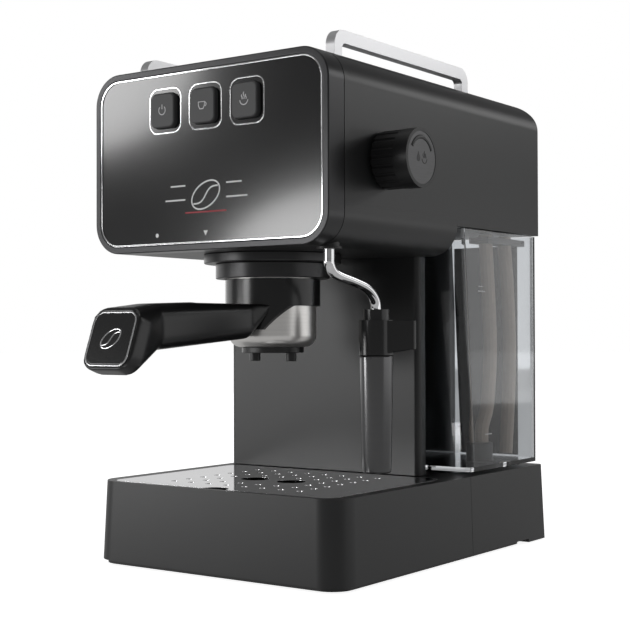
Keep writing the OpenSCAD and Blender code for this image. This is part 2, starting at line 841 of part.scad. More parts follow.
module filter_basket() {
    floor_z = rim_z - 17;
    color([0.8, 0.8, 0.8]) translate([0, group_y, 0]) rotate_extrude() {
        translate([0, rim_z]) difference() {
            square([collar_r - 0.6, basket_z - rim_z]);
            square([basket_r - basket_t, 5]);
        }
        difference() {
            translate([0, floor_z]) square([basket_r, rim_z - floor_z + 0.5]);
            translate([0, floor_z + basket_t]) square([basket_r - basket_t, 30]);
        }
    }
}

// A thin slab across the handle, a distance d in front of the group's axis
module handle_slab(d, z, w, h, r) {
    bar_y(group_y - d, group_y - d + 0.5, 0, z, w, h, r, $fn = HULL_FN);
}

// Places things on the handle's leaning end face, with -Y pointing out of it
module on_end() {
    translate([0, group_y - handle_l, end_z]) rotate([-end_tilt, 0, 0]) children();
}

module portafilter_handle() {
    color([0.07, 0.07, 0.07]) difference() {
        union() {
            hull() {
                handle_slab(collar_r - 5, collar_z1 - 11, handle_w + 9, 21.5, 5);
                handle_slab(collar_r + 6, cup_z + 16, handle_w, arm_h - 1, 7);
            }
            hull() {
                handle_slab(collar_r + 5, cup_z + 16, handle_w, arm_h - 1, 7);
                handle_slab(handle_l - 26, cup_z + 11.6, handle_w, arm_h + 2, 7);
            }
            hull() {
                handle_slab(handle_l - 26, cup_z + 11.6, handle_w, arm_h + 2, 7);
                on_end() bar_y(0, 9, 0, 0, handle_end, handle_end, 8, $fn = HULL_FN);
            }
        }
        rod(0, group_y, 0, body_h, collar_r);
        on_end() bar_y(-1, 1, 0, 0, end_plate, end_plate, 6);
    }
}

module handle_trim() {
    color([0.8, 0.8, 0.82]) on_end() difference() {
        bar_y(-0.2, 1, 0, 0, end_plate, end_plate, 6);
        bar_y(-1, 2, 0, 0, cap_plate, cap_plate, 5.1);
    }
}

module handle_cap() {
    color([0.03, 0.03, 0.03]) on_end() bar_y(0, 1, 0, 0, cap_plate, cap_plate, 5.1);
}

module coffee_spout() {
    color([0.1, 0.1, 0.1]) difference() {
        union() {
            rod(0, group_y, spout_z, cup_z, cup_r - 7.5);
            for (x = [-1, 1])
                rod(x * spout_gap / 2, group_y, spout_z - 5, spout_z, 3.2);
        }
        for (x = [-1, 1])
            rod(x * spout_gap / 2, group_y, spout_z - 6, cup_z + 1, 2);
    }
}

// ---- boiler, pump and wiring ----

module boiler_lower() {
    color([0.72, 0.72, 0.73]) translate([0, group_y, 0]) difference() {
        union() {
            rod(0, 0, boiler_z, boiler_seam, boiler_r);
            rod(0, 0, boiler_seam - 4, boiler_seam, boiler_r + 8);
        }
        rod(0, 0, boiler_z + 5, boiler_seam + 1, boiler_r - 4);
        for (a = bolt_angles)
            rotate([0, 0, a]) rod(boiler_r + 4, 0, boiler_seam - 5, boiler_seam + 1, 2.2);
    }
}

module boiler_upper() {
    color([0.72, 0.72, 0.73]) translate([0, group_y, 0]) difference() {
        union() {
            rod(0, 0, boiler_seam, boiler_top, boiler_r);
            rod(0, 0, boiler_seam, boiler_seam + 4, boiler_r + 8);
        }
        rod(0, 0, boiler_seam - 1, boiler_top - 4, boiler_r - 4);
        for (a = bolt_angles)
            rotate([0, 0, a]) rod(boiler_r + 4, 0, boiler_seam - 1, boiler_seam + 5, 2.2);
        for (y = [-1, 1])
            rod(-coil_r * cos(30), y * coil_r / 2, boiler_top - 5, boiler_top + 1, 3.2);
    }
}

module heating_element() {
    color([0.6, 0.6, 0.6]) translate([0, group_y, boiler_seam + 6]) {
        rotate([0, 0, 210]) rotate_extrude(angle = 300) translate([coil_r, 0]) circle(3);
        for (y = [-1, 1])
            rod(-coil_r * cos(30), y * coil_r / 2, 0, 36, 2.5);
    }
}

module boiler_bolts() {
    color([0.6, 0.6, 0.6]) translate([0, group_y, 0]) for (a = bolt_angles)
        rotate([0, 0, a]) {
            rod(boiler_r + 4, 0, boiler_seam - 7, boiler_seam + 4, 2);
            rod(boiler_r + 4, 0, boiler_seam + 4, boiler_seam + 7, 3.5);
            rod(boiler_r + 4, 0, boiler_seam - 7, boiler_seam - 4, 3.5);
        }
}

module thermostats() {
    color([0.85, 0.8, 0.7]) for (y = [-20, 20]) {
        rod(2, group_y + y, boiler_top, boiler_top + 8, 8);
        block([0, group_y + y - 5, boiler_top + 8], [4, group_y + y + 5, boiler_top + 13]);
    }
}

module pump() {
    color([0.75, 0.5, 0.2]) {
        rod(pump_x, pump_y, pump_z - 22, pump_z, 9);
        rod(pump_x, pump_y, pump_z + pump_coil, pump_z + pump_coil + 26, 9);
        rod(pump_x, pump_y, pump_z + pump_coil + 26, pump_z + pump_coil + 36, 4);
    }
    color([0.2, 0.2, 0.2]) block([pump_x - 20, pump_y - 20, pump_z],
                                 [pump_x + 20, pump_y + 20, pump_z + pump_coil]);
}

module pump_mounts() {
    color([0.15, 0.15, 0.15]) {
        difference() {
            block([pump_x - 14, column_y + wall, pump_z - 16], [pump_x + 14, pump_y + 14, pump_z - 8]);
            rod(pump_x, pump_y, pump_z - 20, pump_z, 9);
        }
        difference() {
            block([pump_x - 14, column_y + wall, pump_z + pump_coil + 8],
                  [pump_x + 14, pump_y + 14, pump_z + pump_coil + 16]);
            rod(pump_x, pump_y, pump_z, pump_z + 90, 9);
        }
    }
}

// The pump's lines: from the tank's hose port to its top, and from its foot up to the boiler
module pressure_hose() {
    top = pump_z + pump_coil + 36;
    color([0.85, 0.85, 0.8]) {
        hose(curve([[hose_x, suction_y, notch_z + wall], [hose_x, suction_y, notch_z + wall + 12],
                    [hose_x - 20, suction_y - 4, notch_z + 30], [pump_x + 26, pump_y + 6, notch_z + 30],
                    [pump_x, pump_y, notch_z + 14], [pump_x, pump_y, top]], 5), hose_r - 0.6, [0, 1, 0]);
        hose(curve([[pump_x - 25, pump_y, pump_z - 30], [pump_x - 32, pump_y - 6, pump_z - 10],
                    [pump_x - 34, pump_y - 14, pump_z + 60], [pump_x - 30, pump_y - 30, head_z + 10],
                    [-30, group_y + 60, boiler_seam + 20], [-20, group_y + 45, boiler_top + 6],
                    [-12, group_y + 18, boiler_top + 12], [-10, group_y, boiler_top + 6],
                    [-10, group_y, boiler_top]], 4), 2.5, [1, 0.2, 0]);
        block([pump_x - 27, pump_y - 3, pump_z - 34], [pump_x + 3, pump_y + 3, pump_z - 28]);
        rod(pump_x, pump_y, pump_z - 28, pump_z - 22, 3);
    }
}

module cord_gland() {
    color([0.08, 0.08, 0.08]) translate([gland_x, 0, gland_z]) rotate([-90, 0, 0]) difference() {
        union() {
            translate([0, 0, cover_y - 3]) cylinder(r = gland_bore + 2, h = 3);
            translate([0, 0, cover_y]) cylinder(r = gland_bore, h = wall);
        }
        translate([0, 0, cover_y - 4]) cylinder(r = lead_r, h = wall + 6);
    }
}

module case_screws() {
    color([0.6, 0.6, 0.6]) {
        base_screw_holes(shell_z, shell_z + 10, 1.5);
        base_screw_holes(pan_z, shell_z, 2.2);
        for (x = [-1, 1], y = rail_screws) {
            rod(x * rail_x, y, body_h - 6, body_h + 3.8, 1.4);
            rod(x * rail_x, y, body_h - 6, body_h - 4, 3);
        }
    }
}

// ---- water tank ----

module tank_form(t, z0, z1) {
    slope = tank_slope / (tank_z1 - tank_z0);
    w = tank_x1 - tank_x0 - 2 * t;
    hull() for (z = [z0, z1 - EPS]) {
        y0 = tank_y0 + t + slope * (tank_z1 - z);
        translate([(tank_x0 + tank_x1) / 2, (y0 + tank_y1 - t) / 2, z]) linear_extrude(EPS)
            rounded(w, tank_y1 - t - y0, tank_r - t / 2, $fn = HULL_FN);
    }
}

module water_tank() {
    color([0.7, 0.75, 0.78, 0.4]) {
        difference() {
            tank_form(0, tank_z0, tank_z1);
            tank_form(tank_wall, tank_z0 + tank_wall, tank_z1 + 5);
        }
        for (y = [tank_y0 + tank_slope + 12, tank_y1 - 16])
            block([tank_x0 + 8, y, base_h + SLIP], [tank_x1 - 8, y + 3, tank_z0]);
    }
}

module suction_hose() {
    color([0.85, 0.75, 0.6]) hose(curve([[hose_x, suction_y, tank_z1], [hose_x, suction_y + 0.5, clip_z],
        [hose_x, suction_y + 4, tank_z1 - 40], [hose_x, suction_y + 6, tank_z1 - 75],
        [hose_x, suction_y + 2, tank_z1 - 110], [hose_x, suction_y - 5.6, strainer_z + 22],
        [hose_x, suction_y - 6, strainer_z + 12]], 3), hose_r, [1, 0, 0]);
}

module return_hose() {
    color([0.85, 0.75, 0.6]) hose(curve([[hose_x, return_y, tank_z1], [hose_x, return_y + 0.5, clip_z],
        [hose_x, return_y + 5, tank_z1 - 40], [hose_x, return_y + 7, tank_z1 - 75],
        [hose_x, return_y + 5, tank_z1 - 110], [hose_x, return_y + 1, tank_z0 + tank_wall + 3]], 3), hose_r, [1, 0, 0]);
}

module strainer() {
    color([0.1, 0.1, 0.1]) rod(hose_x, suction_y - 6, strainer_z, strainer_z + 12, 7);
}

module hose_clip() {
    color([0.1, 0.1, 0.1]) difference() {
        block([hose_x - 7, suction_y - 9, clip_z], [hose_x + 7, tank_y1 - tank_wall, clip_z + 4]);
        for (y = [suction_y, return_y])
            rod(hose_x, y + 0.3, clip_z - 1, clip_z + 5, hose_r + 0.7);
    }
}

base_pan();
rubber_feet();
rear_base();
drip_tray();
drip_grille();
column_shell();
rear_cover();
head_lower_shell();
head_upper_shell();
tank_roof();
front_bezel();
chrome_trim();
front_panel();
button_rings();
power_button();
coffee_button();
steam_button();
button_board();
control_board();
cup_plate();
cup_rail_left();
cup_rail_right();
steam_knob();
knob_face();
valve_stem();
steam_valve();
steam_feed();
wand_gland();
wand_swivel();
steam_pipe();
wand_grip();
froth_sleeve();
steam_nozzle();
group_flange();
lock_ring();
group_head();
group_gasket();
shower_screen();
portafilter_body();
portafilter_collar();
filter_basket();
portafilter_handle();
handle_cap();
handle_trim();
coffee_spout();
boiler_lower();
boiler_upper();
heating_element();
boiler_bolts();
thermostats();
pump();
pump_mounts();
pressure_hose();
water_tank();
suction_hose();
return_hose();
hose_clip();
strainer();
cord_gland();
case_screws();
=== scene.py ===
"""Looks for a compact pump espresso machine, laid out as an add-on around its fixed frame."""
import bpy
import json
from math import cos, pi, radians, sin, tau
from mathutils import Matrix, Vector


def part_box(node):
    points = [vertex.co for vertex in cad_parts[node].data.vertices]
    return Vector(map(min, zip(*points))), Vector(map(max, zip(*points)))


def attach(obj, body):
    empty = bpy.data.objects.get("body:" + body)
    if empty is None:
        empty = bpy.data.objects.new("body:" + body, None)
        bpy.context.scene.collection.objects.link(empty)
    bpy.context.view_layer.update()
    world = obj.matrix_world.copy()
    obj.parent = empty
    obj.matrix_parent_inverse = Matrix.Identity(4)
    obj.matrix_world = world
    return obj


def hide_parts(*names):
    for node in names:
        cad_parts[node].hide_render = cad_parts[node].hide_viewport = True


bl_info = {
    "name": "Espresso machine finish",
    "version": (1, 0, 0),
    "blender": (4, 5, 0),
    "location": "3D View > Sidebar > Espresso",
    "description": "Rounds, details and finishes the parts of a compact espresso machine",
    "category": "Object",
}

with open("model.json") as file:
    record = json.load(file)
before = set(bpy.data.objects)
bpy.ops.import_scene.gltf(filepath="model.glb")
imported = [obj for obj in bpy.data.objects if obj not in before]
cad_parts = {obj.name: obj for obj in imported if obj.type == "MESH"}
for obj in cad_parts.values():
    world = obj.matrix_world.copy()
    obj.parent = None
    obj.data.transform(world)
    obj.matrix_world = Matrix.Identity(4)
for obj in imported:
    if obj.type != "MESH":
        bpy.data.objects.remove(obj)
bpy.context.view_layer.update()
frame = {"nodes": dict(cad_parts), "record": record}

MM = 0.001
HANDLE_TILT = radians(20)       # lean of the handle's square end
WHITE = (1, 1, 1, 1)
NODES = frame["nodes"]
RECORD = frame["record"]
BODY_OF = {node: body for body, group in RECORD["behaviour"]["bodies"].items() for node in group}
SLOT_OF = {part["node"]: part["material_slot"] for part in RECORD["subparts"]}


def span(node):
    """Lowest and highest corner of a node, as vectors."""
    low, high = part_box(node)
    return Vector(low), Vector(high)


# ---------------------------------------------------------------- settings

class FinishColours(bpy.types.PropertyGroup):
    """Base colours of the machine's finishes."""

    def tint(label, words, value):
        return bpy.props.FloatVectorProperty(
            name=label, description=words, default=value, size=3, min=0.0, max=1.0, subtype="COLOR")

    shell: tint("Shell", "Satin charcoal plastic of the housing", (0.013, 0.0133, 0.0138))
    black: tint("Black parts", "Satin black plastic of small parts", (0.007, 0.007, 0.0075))
    panel: tint("Panel", "Gloss black control panel", (0.003, 0.003, 0.0035))
    button: tint("Buttons", "Matt grey button caps", (0.045, 0.0455, 0.047))
    bezel: tint("Bezel", "Satin metallic paint around the panel", (0.045, 0.045, 0.0465))
    chrome: tint("Chrome", "Bright plated metal", (0.78, 0.78, 0.79))
    rail: tint("Rails", "Satin silver of the cup rails", (0.72, 0.72, 0.73))
    cup: tint("Portafilter cup", "Warm satin silver of the cast cup", (0.80, 0.785, 0.765))
    group: tint("Group ring", "Dark satin metal of the locking ring", (0.045, 0.045, 0.046))
    hose: tint("Hoses", "Beige silicone of the tank's hoses", (0.62, 0.50, 0.40))
    tank: tint("Tank", "Slightly smoked clear plastic", (0.86, 0.88, 0.90))
    print: tint("Print", "Light grey printed marks", (0.62, 0.62, 0.63))


class EdgeSizes(bpy.types.PropertyGroup):
    """Radii of the rounded edges."""

    def length(label, words, value):
        return bpy.props.FloatProperty(
            name=label, description=words, default=value, min=0.00005, max=0.01, unit="LENGTH")

    seam: length("Seams", "Rounding where two shells meet", 0.0005)
    base: length("Base rim", "Rounding of the base's upper edge", 0.0016)
    bezel: length("Bezel", "Rounding of the bezel's front edges", 0.0017)
    rail: length("Rails", "Rounding of the rails' bars", 0.0022)
    button: length("Buttons", "Rounding of the button caps", 0.0011)
    small: length("Small parts", "Rounding of small turned parts", 0.0004)
    print: length("Printed lines", "Radius of printed and raised lines", 0.00032)
    grille: length("Grille", "Rounding of the pressed edges of the drip grille", 0.00035)


class StageSettings(bpy.types.PropertyGroup):
    """Camera and light."""
    lens: bpy.props.FloatProperty(
        name="Lens", description="Focal length of the camera", default=76.2, min=20, max=200, unit="CAMERA")
    eye: bpy.props.FloatVectorProperty(
        name="Camera place", description="Where the camera stands", size=3,
        default=(0.48547, -0.69297, 0.13703), subtype="TRANSLATION", unit="LENGTH")
    aim: bpy.props.FloatVectorProperty(
        name="Camera turn", description="Heading, rise and roll of the camera", size=3,
        default=(radians(35.675), radians(0.825), radians(-0.159)), subtype="EULER", unit="ROTATION")
    ambient: bpy.props.FloatProperty(
        name="Room light", description="Strength of the room's even light", default=0.2, min=0, max=2)
    key: bpy.props.FloatProperty(
        name="Key light", description="Power of the main softbox", default=4.0, min=0, max=100, unit="POWER")


# ---------------------------------------------------------------- shader groups

def new_group(name, inputs, outputs):
    """An empty shader group with float sockets, and its input and output nodes."""
    tree = bpy.data.node_groups.new(name, "ShaderNodeTree")
    for label, value in inputs.items():
        socket = tree.interface.new_socket(name=label, in_out="INPUT", socket_type="NodeSocketFloat")
        socket.default_value = value
    for label in outputs:
        tree.interface.new_socket(name=label, in_out="OUTPUT", socket_type="NodeSocketFloat")
    return tree, tree.nodes.new("NodeGroupInput"), tree.nodes.new("NodeGroupOutput")


def math_node(tree, operation, a, b):
    """A math node fed by sockets or numbers."""
    node = tree.nodes.new("ShaderNodeMath")
    node.operation = operation
    for socket, value in zip(node.inputs, (a, b)):
        if isinstance(value, (int, float)):
            socket.default_value = value
        else:
            tree.links.new(value, socket)
    return node.outputs[0]


def object_noise(tree, scale, detail, stretch=None):
    """Noise over Object coordinates; scale is a socket or a number."""
    coords = tree.nodes.new("ShaderNodeTexCoord")
    source = coords.outputs["Object"]
    if stretch:
        mapping = tree.nodes.new("ShaderNodeMapping")
        mapping.inputs["Scale"].default_value = stretch
        tree.links.new(source, mapping.inputs["Vector"])
        source = mapping.outputs["Vector"]
    noise = tree.nodes.new("ShaderNodeTexNoise")
    noise.inputs["Detail"].default_value = detail
    tree.links.new(source, noise.inputs["Vector"])
    if isinstance(scale, (int, float)):
        noise.inputs["Scale"].default_value = scale
    else:
        tree.links.new(scale, noise.inputs["Scale"])
    return noise.outputs["Fac"]


def grain_group():
    """Fine moulded grain with slow drifts of tone and gloss."""
    tree, given, result = new_group(
        "moulded grain", {"Grain": 2600.0, "Drift": 14.0, "Spread": 0.1}, ("Height", "Tone", "Gloss"))
    fine = object_noise(tree, given.outputs["Grain"], 3)
    slow = object_noise(tree, given.outputs["Drift"], 2)
    swing = math_node(tree, "SUBTRACT", slow, 0.5)
    swing = math_node(tree, "MULTIPLY", swing, given.outputs["Spread"])
    speckle = math_node(tree, "SUBTRACT", fine, 0.5)
    tone = math_node(tree, "ADD", math_node(tree, "MULTIPLY", speckle, given.outputs["Spread"]), swing)
    tree.links.new(fine, result.inputs["Height"])
    tree.links.new(math_node(tree, "ADD", tone, 1.0), result.inputs["Tone"])
    tree.links.new(math_node(tree, "ADD", swing, 1.0), result.inputs["Gloss"])
    return tree


def brush_group(name, stretch):
    """Fine brushed lines along one axis."""
    tree, given, result = new_group(name, {"Lines": 900.0, "Spread": 0.2}, ("Height", "Tone", "Gloss"))
    lines = object_noise(tree, given.outputs["Lines"], 4, stretch)
    swing = math_node(tree, "MULTIPLY", math_node(tree, "SUBTRACT", lines, 0.5), given.outputs["Spread"])
    value = math_node(tree, "ADD", swing, 1.0)
    tree.links.new(lines, result.inputs["Height"])
    tree.links.new(value, result.inputs["Tone"])
    tree.links.new(value, result.inputs["Gloss"])
    return tree


GROUPS = {}
RELIEF = 0.6                    # share of the bump's height that is used


def shader_group(name):
    """The shared groups, each built once."""
    makers = {
        "grain": grain_group,
        "brush_x": lambda: brush_group("brushed along X", (0.02, 1.0, 1.0)),
        "brush_y": lambda: brush_group("brushed along Y", (1.0, 0.02, 1.0)),
        "brush_z": lambda: brush_group("turned about Z", (0.05, 0.05, 1.0)),
    }
    if name not in GROUPS:
        GROUPS[name] = makers[name]()
    return GROUPS[name]


def finish(name, colour, roughness, metallic=0.0, group="grain", values=None, bump=0.0, **sockets):
    """A Principled material whose colour, roughness and normal vary through a shared group."""
    material = bpy.data.materials.new(name)
    material.use_nodes = True
    tree = material.node_tree
    shader = tree.nodes["Principled BSDF"]
    shader.inputs["Metallic"].default_value = metallic
    for socket, value in sockets.items():
        shader.inputs[socket.replace("_", " ")].default_value = value
    detail = tree.nodes.new("ShaderNodeGroup")
    detail.node_tree = shader_group(group)
    for socket, value in (values or {}).items():
        detail.inputs[socket].default_value = value
    tint = tree.nodes.new("ShaderNodeVectorMath")
    tint.operation = "SCALE"
    tint.inputs[0].default_value = colour
    tree.links.new(detail.outputs["Tone"], tint.inputs["Scale"])
    tree.links.new(tint.outputs[0], shader.inputs["Base Color"])
    gloss = math_node(tree, "MULTIPLY", detail.outputs["Gloss"], roughness)
    tree.links.new(gloss, shader.inputs["Roughness"])
    if bump:
        relief = tree.nodes.new("ShaderNodeBump")
        relief.inputs["Strength"].default_value = RELIEF
        relief.inputs["Distance"].default_value = bump
        tree.links.new(detail.outputs["Height"], relief.inputs["Height"])
        tree.links.new(relief.outputs["Normal"], shader.inputs["Normal"])
    return material


def moulded(name, colour, roughness, grain=2200.0, bump=0.00002, spread=0.16, **sockets):
    """Injection-moulded plastic with a fine spark-eroded grain."""
    return finish(name, colour, roughness, values={"Grain": grain, "Spread": spread}, bump=bump, **sockets)


def polished(name, colour, roughness, **sockets):
    """Bright metal with faint handling haze."""
    return finish(name, colour, roughness, 1.0, values={"Grain": 500.0, "Spread": 0.22}, **sockets)


def brushed(name, colour, roughness, way, lines=1400.0, bump=0.000004, spread=0.3):
    """Metal with fine lines along one axis."""
    values = {"Lines": lines, "Spread": spread}
    return finish(name, colour, roughness, 1.0, group=way, values=values, bump=bump)


def make_finishes(tints):
    """One material for each of the record's slots, and the ones for marks."""
    silicone = {"Transmission_Weight": 0.25, "IOR": 1.42}
    clear = {"Transmission_Weight": 1.0, "IOR": 1.42}
    return {
        "body_plastic": moulded("satin charcoal shell", tints.shell, 0.36),
        "black_plastic": moulded("satin black plastic", tints.black, 0.38),
        "rubber": moulded("foot rubber", tints.black, 0.75, grain=1500.0),
        "gasket_rubber": moulded("group gasket", (0.20, 0.05, 0.04), 0.6),
        "polished_steel": polished("polished steel", tints.chrome, 0.07),
        "bezel_metal": finish("satin metallic bezel", tints.bezel, 0.3, 0.75,
                              values={"Grain": 4200.0, "Spread": 0.3}, bump=0.00001),
        "chrome_line": polished("chrome line", tints.chrome, 0.1),
        "panel_gloss": finish("gloss black panel", tints.panel, 0.14, values={"Grain": 90.0, "Spread": 0.25},
                              Coat_Weight=0.6, Coat_Roughness=0.09),
        "button_cap": moulded("matt button cap", tints.button, 0.5, grain=3200.0),
        "circuit_board": moulded("circuit board", (0.03, 0.15, 0.06), 0.4, grain=700.0, spread=0.5),
        "brushed_plate": brushed("brushed cup plate", (0.55, 0.55, 0.56), 0.26, "brush_y"),
        "rail_metal": finish("satin rail", tints.rail, 0.34, 0.85, values={"Grain": 3000.0, "Spread": 0.12},
                             bump=0.000006),
        "knob_face": brushed("knob face", (0.12, 0.12, 0.122), 0.34, "brush_z"),
        "brass_fitting": brushed("turned brass", (0.60, 0.42, 0.16), 0.28, "brush_x"),
        "copper_pipe": polished("copper pipe", (0.68, 0.34, 0.22), 0.24),
        "pipe_chrome": polished("chromed pipe", tints.chrome, 0.06),
        "grip_gloss": finish("gloss black grip", tints.black, 0.22, values={"Grain": 400.0, "Spread": 0.2}),
        "sleeve_metal": finish("dark lacquered sleeve", (0.11, 0.11, 0.112), 0.16, 0.9, group="brush_z",
                               values={"Lines": 700.0, "Spread": 0.15}),
        "group_metal": finish("dark satin group", tints.group, 0.33, 0.7,
                              values={"Grain": 1800.0, "Spread": 0.2}, bump=0.00001),
        "cast_alloy": finish("cast alloy", (0.52, 0.52, 0.53), 0.42, 1.0,
                             values={"Grain": 900.0, "Spread": 0.3}, bump=0.00004),
        "cup_metal": finish("satin cast cup", tints.cup, 0.3, 0.9, group="brush_z",
                            values={"Lines": 900.0, "Spread": 0.2}, bump=0.000004),
        "handle_plastic": moulded("satin handle", tints.black, 0.3, grain=2600.0, bump=0.00001),
        "ceramic_white": finish("glazed ceramic", (0.78, 0.75, 0.68), 0.2),
        "clear_hose": finish("silicone hose", tints.hose, 0.34,
                             values={"Grain": 300.0, "Spread": 0.25}, **silicone),
        "tank_clear": finish("clear tank", tints.tank, 0.035,
                             values={"Grain": 60.0, "Spread": 0.06}, **clear),
        "print": finish("printed grey", tints.print, 0.45, values={"Grain": 1500.0, "Spread": 0.1}),
        "print_white": finish("printed white", (0.85, 0.85, 0.85), 0.45, values={"Grain": 1500.0}),
        "print_red": finish("printed red", (0.42, 0.02, 0.035), 0.4, values={"Grain": 1500.0}),
        "print_black": finish("printed black", (0.004, 0.004, 0.004), 0.4, values={"Grain": 1500.0}),
    }


MATERIALS = {}


# ---------------------------------------------------------------- modelling helpers

SAME_POINT = 0.000002           # corners closer than this are joined
FLAT = radians(0.5)             # faces that differ by less than this become one


def only(obj):
    """Leaves just this object selected and active."""
    bpy.ops.object.select_all(action="DESELECT")
    obj.select_set(True)
    bpy.context.view_layer.objects.active = obj


def named(name):
    """Names the object that was just added."""
    obj = bpy.context.object
    obj.name = name
    obj.data.name = name
    return obj


def apply_modifier(obj, kind, **values):
    """Adds a modifier, sets it and applies it."""
    only(obj)
    bpy.ops.object.modifier_add(type=kind)
    modifier = obj.modifiers[-1]
    for key, value in values.items():
        setattr(modifier, key, value)
    bpy.ops.object.modifier_apply(modifier=modifier.name)


def smooth(obj, angle=32):
    """Smooth shading that keeps flat faces flat."""
    only(obj)
    bpy.ops.object.shade_smooth_by_angle(angle=radians(angle))
    apply_modifier(obj, "WEIGHTED_NORMAL", keep_sharp=True)


def settle(obj):
    """Puts the object's place, turn and scale into its mesh."""
    only(obj)
    bpy.ops.object.transform_apply(location=True, rotation=True, scale=True)


def dress(obj, slot, body, replaced=(), material=None):
    """Gives a piece its material, the named one or else the slot's, puts it on its body, and hides the CAD
    nodes that it stands for.
    """
    obj.data.materials.clear()
    obj.data.materials.append(MATERIALS[material or slot])
    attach(obj, body)
    if replaced:
        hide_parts(*replaced)
    return obj


def softened(node, width, segments=3, angle=30):
    """A copy of a CAD node with joined triangles and rounded edges, which replaces the node."""
    piece = bpy.data.objects.new("fine_" + node, NODES[node].data.copy())
    bpy.context.scene.collection.objects.link(piece)
    only(piece)
    bpy.ops.mesh.customdata_custom_splitnormals_clear()
    bpy.ops.object.mode_set(mode="EDIT")
    bpy.ops.mesh.select_all(action="SELECT")
    bpy.ops.mesh.remove_doubles(threshold=SAME_POINT)
    bpy.ops.mesh.dissolve_limited(angle_limit=FLAT)
    bpy.ops.object.mode_set(mode="OBJECT")
    apply_modifier(piece, "BEVEL", width=width, segments=segments, limit_method="ANGLE",
                   angle_limit=radians(angle), use_clamp_overlap=True)
    smooth(piece)
    return dress(piece, SLOT_OF[node], BODY_OF[node], (node,))


def tube(name, points, radius, sides=12, closed=False, steps=6):
    """A round tube along a smooth curve through the points, as a mesh."""
    curve = bpy.data.curves.new(name, "CURVE")
    curve.dimensions = "3D"
    curve.bevel_depth = radius
    curve.bevel_resolution = sides // 4
    curve.use_fill_caps = not closed
    spline = curve.splines.new("POLY")
    route = points if closed else through(points, steps)
    spline.points.add(len(route) - 1)
    for knot, point in zip(spline.points, route):
        knot.co = (*point, 1)
    spline.use_cyclic_u = closed
    obj = bpy.data.objects.new(name, curve)
    bpy.context.scene.collection.objects.link(obj)
    only(obj)
    bpy.ops.object.convert(target="MESH")
    obj = bpy.context.object
    bpy.ops.object.shade_smooth_by_angle(angle=radians(60))
    return obj


def through(points, steps):
    """Points on a smooth curve through the given ones."""
    points = [Vector(p) for p in points]
    if steps < 2:
        return points
    last = len(points) - 1
    route = []
    for i in range(last):
        a, b, c, d = (points[max(i - 1, 0)], points[i], points[i + 1], points[min(i + 2, last)])
        for k in range(steps):
            t = k / steps
            route.append(0.5 * (2 * b + (c - a) * t + (2 * a - 5 * b + 4 * c - d) * t * t
                                + (3 * b - a - 3 * c + d) * t ** 3))
    return route + [points[last]]


def join(name, parts):
    """Joins pieces into one object."""
    bpy.ops.object.select_all(action="DESELECT")
    for part in parts:
        part.select_set(True)
    bpy.context.view_layer.objects.active = parts[0]
    if len(parts) > 1:
        bpy.ops.object.join()
    return named(name)


def block(name, low, high):
    """A box between two corners."""
    bpy.ops.object.select_all(action="DESELECT")
    bpy.ops.mesh.primitive_cube_add(size=1)
    box = named(name)
    low, high = Vector(low), Vector(high)
    bpy.ops.transform.resize(value=high - low)
    bpy.ops.transform.translate(value=(low + high) / 2)
    settle(box)
    return box


def press_in(obj, normal, margin, depth):
    """Presses the middle of the faces that look one way into the piece."""
    only(obj)
    bpy.ops.object.mode_set(mode="EDIT")
    bpy.ops.mesh.select_all(action="DESELECT")
    bpy.ops.object.mode_set(mode="OBJECT")
    for face in obj.data.polygons:
        face.select = face.normal.dot(normal) > 0.9
    bpy.ops.object.mode_set(mode="EDIT")
    bpy.ops.mesh.select_mode(type="FACE")
    bpy.ops.mesh.inset(thickness=margin, depth=0)
    bpy.ops.transform.translate(value=-depth * normal)
    bpy.ops.object.mode_set(mode="OBJECT")


def turned(name, centre, radius, height):
    """An upright cylinder."""
    bpy.ops.object.select_all(action="DESELECT")
    bpy.ops.mesh.primitive_cylinder_add(vertices=96, radius=radius, depth=height, location=centre)
    return named(name)


def cut_away(obj, tool):
    """Cuts a closed tool's space out of a piece and removes the tool."""
    apply_modifier(obj, "BOOLEAN", object=tool, operation="DIFFERENCE", solver="EXACT")
    bpy.data.objects.remove(tool)


def arc(cx, cy, r, start, end, count=14):
    """Points of an arc in a flat drawing, angles in degrees."""
    return [(cx + r * cos(radians(start + (end - start) * k / count)),
             cy + r * sin(radians(start + (end - start) * k / count))) for k in range(count + 1)]


def oval(cx, cy, rx, ry, turn=0.0, count=28):
    """Points of a closed ellipse in a flat drawing."""
    c, s = cos(radians(turn)), sin(radians(turn))
    ring = [(rx * cos(tau * k / count), ry * sin(tau * k / count)) for k in range(count)]
    return [(cx + c * x - s * y, cy + s * x + c * y) for x, y in ring]


def drawing(name, lines, width, place, fills=()):
    """Thin raised lines and filled shapes drawn flat, then put in place by a matrix."""
    parts = []
    for line in lines:
        shut = line[0] == line[-1] if len(line) > 2 else False
        points = [(x, y, 0) for x, y in (line[:-1] if shut else line)]
        parts.append(tube(name, points, width, sides=8, closed=shut, steps=1))
    for fill in fills:
        parts.append(filled(name, fill, width * 0.6))
    obj = join(name, parts)
    flat = Matrix.Diagonal((1, 1, 0.35, 1))
    obj.data.transform(place @ flat)
    return obj


def filled(name, outline, height):
    """A low raised shape with the given outline."""
    mesh = bpy.data.meshes.new(name)
    mesh.from_pydata([(x, y, -height) for x, y in outline], [], [tuple(range(len(outline)))])
    obj = bpy.data.objects.new(name, mesh)
    bpy.context.scene.collection.objects.link(obj)
    only(obj)
    bpy.ops.object.mode_set(mode="EDIT")
    bpy.ops.mesh.select_all(action="SELECT")
    bpy.ops.mesh.extrude_region_move(TRANSFORM_OT_translate={"value": (0, 0, 2 * height)})
    bpy.ops.mesh.select_all(action="SELECT")
    bpy.ops.mesh.normals_make_consistent(inside=False)
    bpy.ops.object.mode_set(mode="OBJECT")
    return obj


